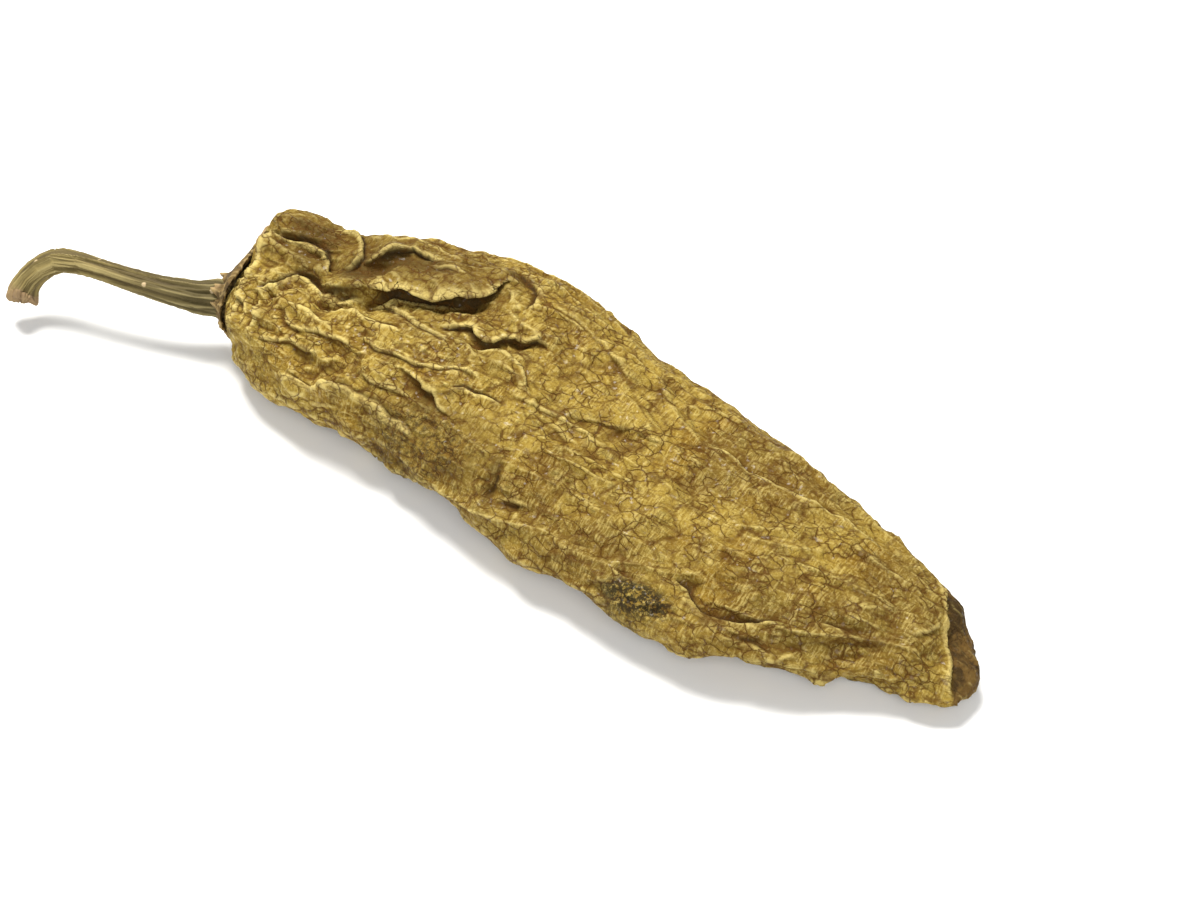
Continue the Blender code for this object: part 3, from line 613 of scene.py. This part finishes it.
def round_stem(points):
    """How far along the stem each point lies, its turn round the middle line, and the stem's length."""
    line = np.array(STEM_LINE)
    steps = np.diff(line, axis=0)
    lengths = np.linalg.norm(steps, axis=1)
    before = np.concatenate([[0], np.cumsum(lengths)])
    best = np.full(len(points), 1e9)
    along = np.zeros(len(points))
    turn = np.zeros(len(points))
    for start, step, length, done in zip(line[:-1], steps, lengths, before):
        rel = points - start
        t = np.clip(rel @ step / length**2, 0, 1)
        off = rel - t[:, None] * step
        away = np.linalg.norm(off, axis=1)
        side = np.cross(STEM_SIDE, step)
        side /= np.linalg.norm(side)
        top = np.cross(step / length, side)
        nearer = away < best
        best = np.where(nearer, away, best)
        along = np.where(nearer, done + t * length, along)
        turn = np.where(nearer, np.arctan2(off @ top, off @ side), turn)
    return along, turn, before[-1]


def warts_at(points):
    """1 on the middle of a small wart, falling off round it."""
    distance = np.array([noise.voronoi(Vector(p))[0][0] for p in points * WART_SCALE])
    return np.exp(-((distance / WART_SIZE) ** 2))


def shape_stem(obj):
    """Long grooves that follow the stem round its hook, pale warts, and a ragged broken end."""
    mesh = obj.data
    edges = edges_of(mesh)
    start = places_of(mesh)
    normals = spread(normals_of(mesh), edges, 4)
    along, turn, length = round_stem(start - POD_MIDDLE)
    skin = np.stack([along, STEM_ROUND * np.cos(turn), STEM_ROUND * np.sin(turn)], axis=1)
    ribs = crests(skin, STEM_RIBS)
    fibres = noise_at(skin, FIBRE_SCALE)
    grain = noise_at(start, STEM_GRAIN_SCALE)
    wart = warts_at(start)
    lift = RIB_LIFT * (ribs - 0.5) + FIBRE_LIFT * fibres + STEM_GRAIN_LIFT * grain + WART_LIFT * wart
    lift += FOOT_FLARE * (1 - smooth_step(0, FOOT_LENGTH, along)) * (0.6 + fibres)
    broken = smooth_step(length - BROKEN_LENGTH, length, along)
    ragged = noise_at(start, RAGGED_SCALE)
    moved = start + normals * (lift + BROKEN_LIFT * broken * ragged)[:, None]
    moved[:, 2] += BROKEN_RISE * broken * ragged
    put_places(mesh, inside_solids(moved))
    keep_attribute(mesh, "crest", np.clip(ribs * 1.6 - 0.6, -1, 1))
    keep_attribute(mesh, "fibre", 0.5 + fibres)
    keep_attribute(mesh, "wart", wart)
    keep_attribute(mesh, "along", along / length)


def shape_calyx(obj):
    """A papery cap: its rim curls off the shoulder in ragged lobes, and a torn collar rings the stem."""
    mesh = obj.data
    edges = edges_of(mesh)
    start = places_of(mesh)
    normals = spread(normals_of(mesh), edges, 4)
    away = (start - POD_MIDDLE)[:, 1:] - STEM_APEX
    reach = np.hypot(away[:, 0], away[:, 1])
    turn = np.arctan2(away[:, 1], away[:, 0])
    ring = np.stack([np.cos(turn), np.sin(turn), reach * 0.12], axis=1)
    lobes = noise_at(ring, LOBE_SCALE)
    shreds = noise_at(ring, SHRED_SCALE)
    folds = crests(start, CALYX_FOLDS)
    moved = start + normals * (CALYX_FOLD_LIFT * (folds - 0.5))[:, None]
    curl = smooth_step(*RIM, reach) * np.clip(0.6 + 2.2 * lobes + 1.2 * shreds, 0, 2)
    band = np.exp(-(((reach - COLLAR_RADIUS) / COLLAR_WIDTH) ** 2))
    collar = band * np.clip(0.6 + 1.4 * shreds + 1.2 * lobes, 0, 1.4)
    moved[:, 0] -= RIM_CURL * curl + COLLAR_HEIGHT * collar
    moved[:, 1:] += away / np.maximum(reach, 0.1)[:, None] * (RIM_SPREAD * curl)[:, None]
    moved = inside_solids(moved)
    put_places(mesh, moved)
    fine = stands_out(moved, mesh, edges, 10)
    keep_attribute(mesh, "crest", np.clip(fine / 0.10, -1, 1))
    keep_attribute(mesh, "torn", np.clip(collar + 0.8 * curl, 0, 1))


class Value:
    """A node's output used in sums and products, so that 1 - mask adds its own Math node."""

    def __init__(self, finish, socket):
        self.finish = finish
        self.socket = socket

    def math(self, operation, *values):
        return self.finish.node("ShaderNodeMath", {"operation": operation}, dict(enumerate(values))).out()

    def __add__(self, other):
        return self.math("ADD", self, other)

    def __radd__(self, other):
        return self.math("ADD", other, self)

    def __sub__(self, other):
        return self.math("SUBTRACT", self, other)

    def __rsub__(self, other):
        return self.math("SUBTRACT", other, self)

    def __mul__(self, other):
        return self.math("MULTIPLY", self, other)

    def __rmul__(self, other):
        return self.math("MULTIPLY", other, self)

    def __truediv__(self, other):
        return self.math("DIVIDE", self, other)

    def __rtruediv__(self, other):
        return self.math("DIVIDE", other, self)

    def above(self, low, high):
        """0 up to low, 1 from high on, and a smooth slope between."""
        settings = {"interpolation_type": "SMOOTHSTEP"}
        inputs = {0: self, 1: low, 2: high, 3: 0.0, 4: 1.0}
        return self.finish.node("ShaderNodeMapRange", settings, inputs).out()


class Node:
    """A node just added, whose outputs are read as values."""

    def __init__(self, finish, node):
        self.finish = finish
        self.node = node

    def out(self, key=0):
        return Value(self.finish, self.node.outputs[key])


class Finish:
    """One material: a Principled shader and the nodes that feed it."""

    def __init__(self, name, roughness=0.6, specular=0.4):
        self.material = bpy.data.materials.new(name)
        self.material.use_nodes = True
        self.tree = self.material.node_tree
        self.shader = self.tree.nodes["Principled BSDF"]
        self.shader.inputs["Roughness"].default_value = roughness
        self.shader.inputs["Specular IOR Level"].default_value = specular
        metres = self.node("ShaderNodeTexCoord", {}, {}).out("Object")
        self.place = self.node("ShaderNodeMapping", {}, {0: metres, 3: (1 / MM, 1 / MM, 1 / MM)}).out()

    def node(self, kind, settings, inputs):
        """Adds any node: its settings first, then the values or links of its sockets."""
        node = self.tree.nodes.new(kind)
        for key, value in settings.items():
            setattr(node, key, value)
        for key, value in inputs.items():
            if isinstance(value, Value):
                self.tree.links.new(value.socket, node.inputs[key])
            else:
                node.inputs[key].default_value = value
        return Node(self, node)

    def stretched(self, stretch, turn=(0, 0, 0), place=None):
        """The place in millimetres, turned, with each direction multiplied."""
        turned = self.node("ShaderNodeMapping", {}, {0: place or self.place, 2: turn, 3: (1, 1, 1)}).out()
        return self.node("ShaderNodeMapping", {}, {0: turned, 3: stretch}).out()

    def mottle(self, scale, detail=3.0, roughness=0.55, place=None):
        inputs = {"Vector": place or self.place, "Scale": scale, "Detail": detail, "Roughness": roughness}
        return self.node("ShaderNodeTexNoise", {}, inputs).out("Fac")

    def warped(self, amount, scale, place=None):
        """A place shaken by noise, so that a pattern on it runs unevenly."""
        inputs = {"Vector": place or self.place, "Scale": scale, "Detail": 2.0}
        shake = self.node("ShaderNodeTexNoise", {}, inputs).out("Color")
        inputs = {0: shake, 1: (0.5, 0.5, 0.5)}
        centred = self.node("ShaderNodeVectorMath", {"operation": "SUBTRACT"}, inputs).out()
        inputs = {0: centred, 1: (amount, amount, amount), 2: place or self.place}
        return self.node("ShaderNodeVectorMath", {"operation": "MULTIPLY_ADD"}, inputs).out()

    def cell_borders(self, scale, place):
        """Distance from the nearest border of irregular cells."""
        settings = {"feature": "DISTANCE_TO_EDGE"}
        return self.node("ShaderNodeTexVoronoi", settings, {"Vector": place, "Scale": scale}).out("Distance")

    def attribute(self, name):
        return self.node("ShaderNodeAttribute", {"attribute_name": name}, {}).out("Fac")

    def along(self, axis):
        return self.node("ShaderNodeSeparateXYZ", {}, {0: self.place}).out(axis)

    def blend(self, first, second, factor):
        """The first colour, or the colour so far, changed into the second as the factor goes from 0 to 1."""
        first = (*first, 1) if isinstance(first, tuple) else first
        inputs = {0: factor, 6: first, 7: (*second, 1)}
        return self.node("ShaderNodeMix", {"data_type": "RGBA"}, inputs).out(2)

    def spot(self, x, y, reach_x, reach_y):
        """1 in the middle of an oval on the pod seen from above, falling to 0 at its edge."""
        dx = (self.along("X") - (x + POD_MIDDLE[0])) / reach_x
        dy = (self.along("Y") - (y + POD_MIDDLE[1])) / reach_y
        return 1 - (dx * dx + dy * dy).above(0.2, 1.0)

    def wire(self, colour, height, distance, roughness=None, coat=None):
        """Joins colour, bump (its distance in millimetres), roughness and coat to the shader."""
        self.tree.links.new(colour.socket, self.shader.inputs["Base Color"])
        if coat is not None:
            self.shader.inputs["Coat Roughness"].default_value = COAT_ROUGHNESS
            self.tree.links.new(coat.socket, self.shader.inputs["Coat Weight"])
        if roughness is not None:
            self.tree.links.new(roughness.socket, self.shader.inputs["Roughness"])
        inputs = {"Strength": 1.0, "Distance": distance * MM, "Height": height}
        bump = self.node("ShaderNodeBump", {}, inputs).out()
        self.tree.links.new(bump.socket, self.shader.inputs["Normal"])
        return self.material


def pod_ground(finish, grain, blotches):
    """The tan of the pod with its ochre, brown, grey and straw mottles."""
    patches = finish.mottle(PATCH_SCALE, 3.0, 0.6)
    broad = finish.mottle(BROAD_SCALE, 2.0, 0.5)
    colour = finish.blend(TAN, OCHRE, patches.above(0.42, 0.66))
    colour = finish.blend(colour, HOLLOW_BROWN, broad.above(0.48, 0.68) * 0.5)
    colour = finish.blend(colour, GREY_TAN, blotches.above(0.5, 0.72) * 0.6)
    colour = finish.blend(colour, STRAW, grain.above(0.48, 0.66) * 0.4)
    return finish.blend(colour, BROWN, (1 - grain.above(0.34, 0.50)) * 0.4)


def pod_relief_colours(finish, colour, crest):
    """Painted shade in hollows, dips and creases, with the darker brown of the hollows, and painted highlight
    on crests and lips.
    """
    # Painted shade in the broad hollows, partly their darker brown.
    colour = finish.blend(colour, BROWN, finish.attribute("hollow").above(0.05, 0.7) * 0.85)
    # Painted shade in small dips and painted highlight on crests.
    colour = finish.blend(colour, BROWN, (0 - crest).above(0.1, 0.8) * 0.8)
    colour = finish.blend(colour, STRAW, crest.above(0.1, 0.9) * 0.75)
    # Painted shade spots in the hollows of the upper side.
    for x, y, reach_x, reach_y, depth in SHADED_HOLLOWS:
        colour = finish.blend(colour, HOLLOW_BROWN, finish.spot(x, y, reach_x, reach_y) * depth)
    # Painted highlight on fold lips, and painted shade in fold creases.
    colour = finish.blend(colour, STRAW, finish.attribute("lip").above(0.15, 0.6) * 0.45)
    return finish.blend(colour, DEEP_BROWN, finish.attribute("crease").above(0.15, 0.8) * 0.85)


def pod_stains(finish, colour):
    """The black patch low on the near side and the brown stain beside it."""
    speckle = finish.mottle(SPECKLE_SCALE, 4.0, 0.8)
    black = finish.spot(*BLACK_PATCH) * speckle.above(0.40, 0.52)
    colour = finish.blend(colour, MOULD, black * 0.9)
    stained = finish.spot(*STAIN) * speckle.above(0.44, 0.60)
    return finish.blend(colour, DEEP_BROWN, stained * 0.6)


def pod_tip(finish, colour, grain, blotches, crest):
    """The dark cap of the tip, beyond its slanting line, with a painted highlight on its crests."""
    slant = (finish.along("Y") - POD_MIDDLE[1]) * TIP_SLANT
    tip = (finish.along("X") - POD_MIDDLE[0] + slant + grain * TIP_RAGGED).above(*TIP_BEGINS)
    colour = finish.blend(colour, TIP_BROWN, tip * 0.9)
    colour = finish.blend(colour, DEEP_BROWN, tip * blotches.above(0.40, 0.58) * 0.8)
    # Painted highlight on the tip's crests.
    return finish.blend(colour, STRAW, tip * crest.above(0.2, 0.9) * 0.4)


def pod_finish():
    finish = Finish("pod skin", specular=0.10)
    crest = finish.attribute("crest")
    blotches = finish.mottle(BLOTCH_SCALE, 4.0, 0.65)
    grain = finish.mottle(GRAIN_SCALE, 5.0, 0.8)
    breaks = finish.mottle(BREAK_SCALE, 3.0, 0.6)
    plates = finish.cell_borders(PLATE_SCALE, finish.warped(0.9, 0.9, finish.stretched((0.72, 1.0, 1.0))))
    small_place = finish.warped(0.4, 1.8, finish.stretched((0.8, 1.0, 1.0)))
    small_plates = finish.cell_borders(SMALL_PLATE_SCALE, small_place)
    valley = 1 - finish.attribute("plate").above(0.0, 0.4)
    crack = (1 - plates.above(0.0, 0.06)) * (0.3 + breaks.above(0.44, 0.56) * 0.7)
    beside_crack = (1 - plates.above(0.0, 0.25)) * breaks.above(0.42, 0.6)
    small_crack = (1 - small_plates.above(0.0, 0.1)) * blotches.above(0.42, 0.6)
    ribs = finish.mottle(1.0, 2.0, 0.5, finish.stretched(RIB_STRETCH, RIB_TURN, finish.warped(0.5, 0.5)))
    ribbed = finish.mottle(RIBBED_SCALE, 2.0, 0.5).above(0.40, 0.56)
    specks = finish.mottle(SPECK_SCALE, 2.0, 0.6).above(0.62, 0.70)
    glints = finish.mottle(GLINT_SCALE, 2.0, 0.5).above(0.60, 0.66)
    colour = pod_ground(finish, grain, blotches)
    colour = finish.blend(colour, STRAW, ribs.above(0.50, 0.62) * ribbed * 0.35)
    colour = finish.blend(colour, BROWN, (1 - ribs.above(0.38, 0.5)) * ribbed * 0.3)
    colour = finish.blend(colour, GREY_TAN, plates.above(0.2, 0.45) * blotches.above(0.4, 0.6) * 0.5)
    colour = pod_relief_colours(finish, colour, crest)
    colour = finish.blend(colour, BROWN, beside_crack * 0.35)
    colour = finish.blend(colour, CRACK, valley * (0.3 + blotches.above(0.4, 0.6) * 0.5))
    colour = finish.blend(colour, CRACK, crack * 0.9)
    colour = finish.blend(colour, CRACK, small_crack * 0.4)
    colour = finish.blend(colour, CRACK, specks * 0.5)
    colour = pod_stains(finish, colour)
    colour = pod_tip(finish, colour, grain, blotches, crest)
    roughness = 0.70 - grain.above(0.54, 0.64) * 0.1
    height = (0.0 - crack * 0.5 - beside_crack * 0.4 - small_crack * 0.3) + ribs * ribbed * 0.8 + grain * 0.9
    return finish.wire(colour, height, POD_BUMP, roughness, glints * 0.4)


def stem_finish():
    finish = Finish("stem", roughness=0.65, specular=0.15)
    crest = finish.attribute("crest")
    fibre = finish.attribute("fibre")
    along = finish.attribute("along")
    # Painted shade on the stem's foot, near the calyx.
    painted_foot_shade = 1 - along.above(0.05, 0.6)
    colour = finish.blend(STEM_TAN, STEM_BROWN, (1 - fibre.above(0.35, 0.6)) * 0.8)
    colour = finish.blend(colour, STEM_FOOT_SHADE, painted_foot_shade * 0.85)
    # Painted highlight on the stem's ridges and painted shade in its grooves.
    colour = finish.blend(colour, STEM_RIDGE_HIGHLIGHT, crest.above(0.35, 1.0) * fibre.above(0.35, 0.65) * 0.45)
    colour = finish.blend(colour, STEM_GROOVE_SHADE, (0 - crest).above(0.05, 0.8) * 0.7)
    colour = finish.blend(colour, WART_TAN, finish.attribute("wart").above(0.3, 0.7) * 0.8)
    colour = finish.blend(colour, BROKEN_WOOD, along.above(0.93, 0.98) * 0.7)
    return finish.wire(colour, finish.mottle(3.0, 3.0), STEM_BUMP)


def calyx_finish():
    finish = Finish("calyx", roughness=0.7, specular=0.12)
    crest = finish.attribute("crest")
    torn = finish.attribute("torn")
    mottle = finish.mottle(0.9, 4.0, 0.7)
    colour = finish.blend(CALYX_BROWN, CALYX_DARK, mottle.above(0.42, 0.6))
    colour = finish.blend(colour, TORN_PAPER, torn.above(0.3, 1.0) * mottle.above(0.35, 0.6) * 0.75)
    # Painted highlight on the calyx's crests.
    colour = finish.blend(colour, CALYX_CREST_HIGHLIGHT, crest.above(0.2, 1.0) * 0.6)
    return finish.wire(colour, mottle, CALYX_BUMP)


def dress(obj, node, material):
    obj.data.materials.append(material)
    for polygon in obj.data.polygons:
        polygon.use_smooth = True
    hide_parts(node)
    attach(obj, "root")


def make_pod():
    pod = copy_of_node("pod", "pod_skin")
    fine_skin(pod, SKIN_VOXEL, SKIN_SQUEEZE)
    split_upper_faces(pod)
    shape_pod(pod)
    dress(pod, "pod", pod_finish())


def make_calyx():
    calyx = copy_of_node("calyx", "calyx_cap")
    fine_skin(calyx, CALYX_VOXEL)
    shape_calyx(calyx)
    dress(calyx, "calyx", calyx_finish())


def make_stem():
    stem = copy_of_node("stem", "stem_stalk")
    fine_skin(stem, STEM_VOXEL)
    shape_stem(stem)
    dress(stem, "stem", stem_finish())


def make_floor():
    bpy.ops.mesh.primitive_plane_add(size=FLOOR_WIDTH)
    floor = bpy.context.object
    floor.name = "floor"
    finish = Finish("floor", roughness=0.6, specular=0.2)
    finish.shader.inputs["Base Color"].default_value = FLOOR_WHITE
    floor.data.materials.append(finish.material)


def add_area_light(name, place, size, watts, colour):
    """A square light that points at the middle of the part."""
    light = bpy.data.lights.new(name, "AREA")
    light.size = size
    light.energy = watts
    light.color = colour
    obj = bpy.data.objects.new(name, light)
    obj.location = place
    obj.rotation_euler = (-Vector(place)).to_track_quat("-Z", "Y").to_euler()
    bpy.context.scene.collection.objects.link(obj)


def make_light():
    world = bpy.data.worlds.new("soft light")
    world.use_nodes = True
    background = world.node_tree.nodes["Background"]
    background.inputs["Color"].default_value = (1.0, 1.0, 1.0, 1)
    background.inputs["Strength"].default_value = WORLD_STRENGTH
    bpy.context.scene.world = world
    add_area_light("key", KEY_PLACE, KEY_SIZE, KEY_WATTS, KEY_COLOUR)
    add_area_light("fill", FILL_PLACE, FILL_SIZE, FILL_WATTS, FILL_COLOUR)


def make_camera():
    azimuth = math.radians(CAMERA_AZIMUTH)
    elevation = math.radians(CAMERA_ELEVATION)
    level = math.cos(elevation)
    back = Vector((math.sin(azimuth) * level, -math.cos(azimuth) * level, math.sin(elevation)))
    data = bpy.data.cameras.new("camera")
    data.lens = CAMERA_LENS
    data.sensor_width = CAMERA_SENSOR
    data.clip_start = CAMERA_CLIP_START
    camera = bpy.data.objects.new("camera", data)
    camera.location = Vector(CAMERA_TARGET) * MM + back * CAMERA_DISTANCE * MM
    camera.rotation_mode = "QUATERNION"
    camera.rotation_quaternion = (-back).to_track_quat("-Z", "Y")
    bpy.context.scene.collection.objects.link(camera)
    bpy.context.scene.camera = camera


noise.seed_set(NOISE_SEED)
bpy.context.scene.view_settings.view_transform = "Standard"
make_pod()
make_calyx()
make_stem()
make_floor()
make_light()
make_camera()
